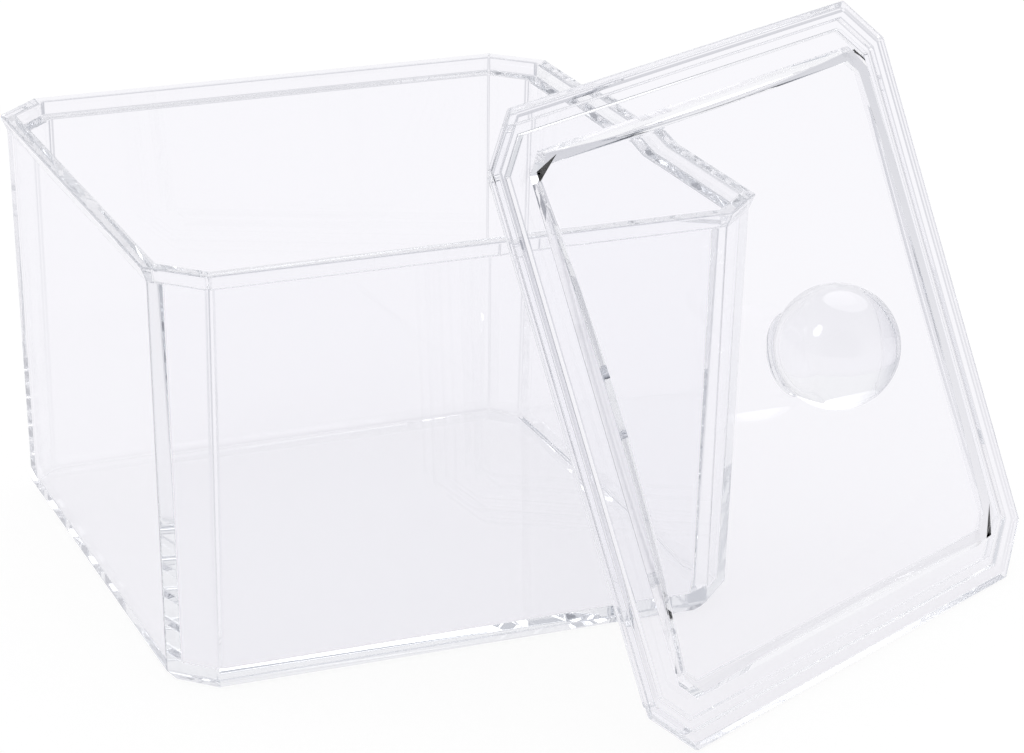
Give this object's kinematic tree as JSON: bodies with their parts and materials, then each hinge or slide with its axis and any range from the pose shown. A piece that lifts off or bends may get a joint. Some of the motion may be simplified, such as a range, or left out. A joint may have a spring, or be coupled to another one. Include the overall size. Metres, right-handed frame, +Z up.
{
  "type": "cotton pad holder",
  "caption": "Clear square open-top box with cut corners and a flared rim, and its loose domed-panel lid with a ball knob, leaning on one corner.",
  "frame": {"origin": "centre of the tub's flat base, on the surface it stands on", "axes": "+Z up; -Y out of the tub's front wall; the lid leans on the tub's front right corner (+X, -Y)"},
  "size_m": [0.1654, 0.1575, 0.102],
  "materials": {
    "clear_tub": "polished, moulded",
    "clear_lid": "polished, moulded",
    "clear_knob": "polished, moulded"
  },
  "bodies": {
    "tub": {"tub": "clear_tub"},
    "lid": {"lid": "clear_lid", "ball_knob": "clear_knob"}
  },
  "joints": [
    {"name": "lid_lift", "type": "slide", "parent": "tub", "child": "lid", "axis": [0, 0, 1], "range_m": [0, 0.085]}
  ]
}
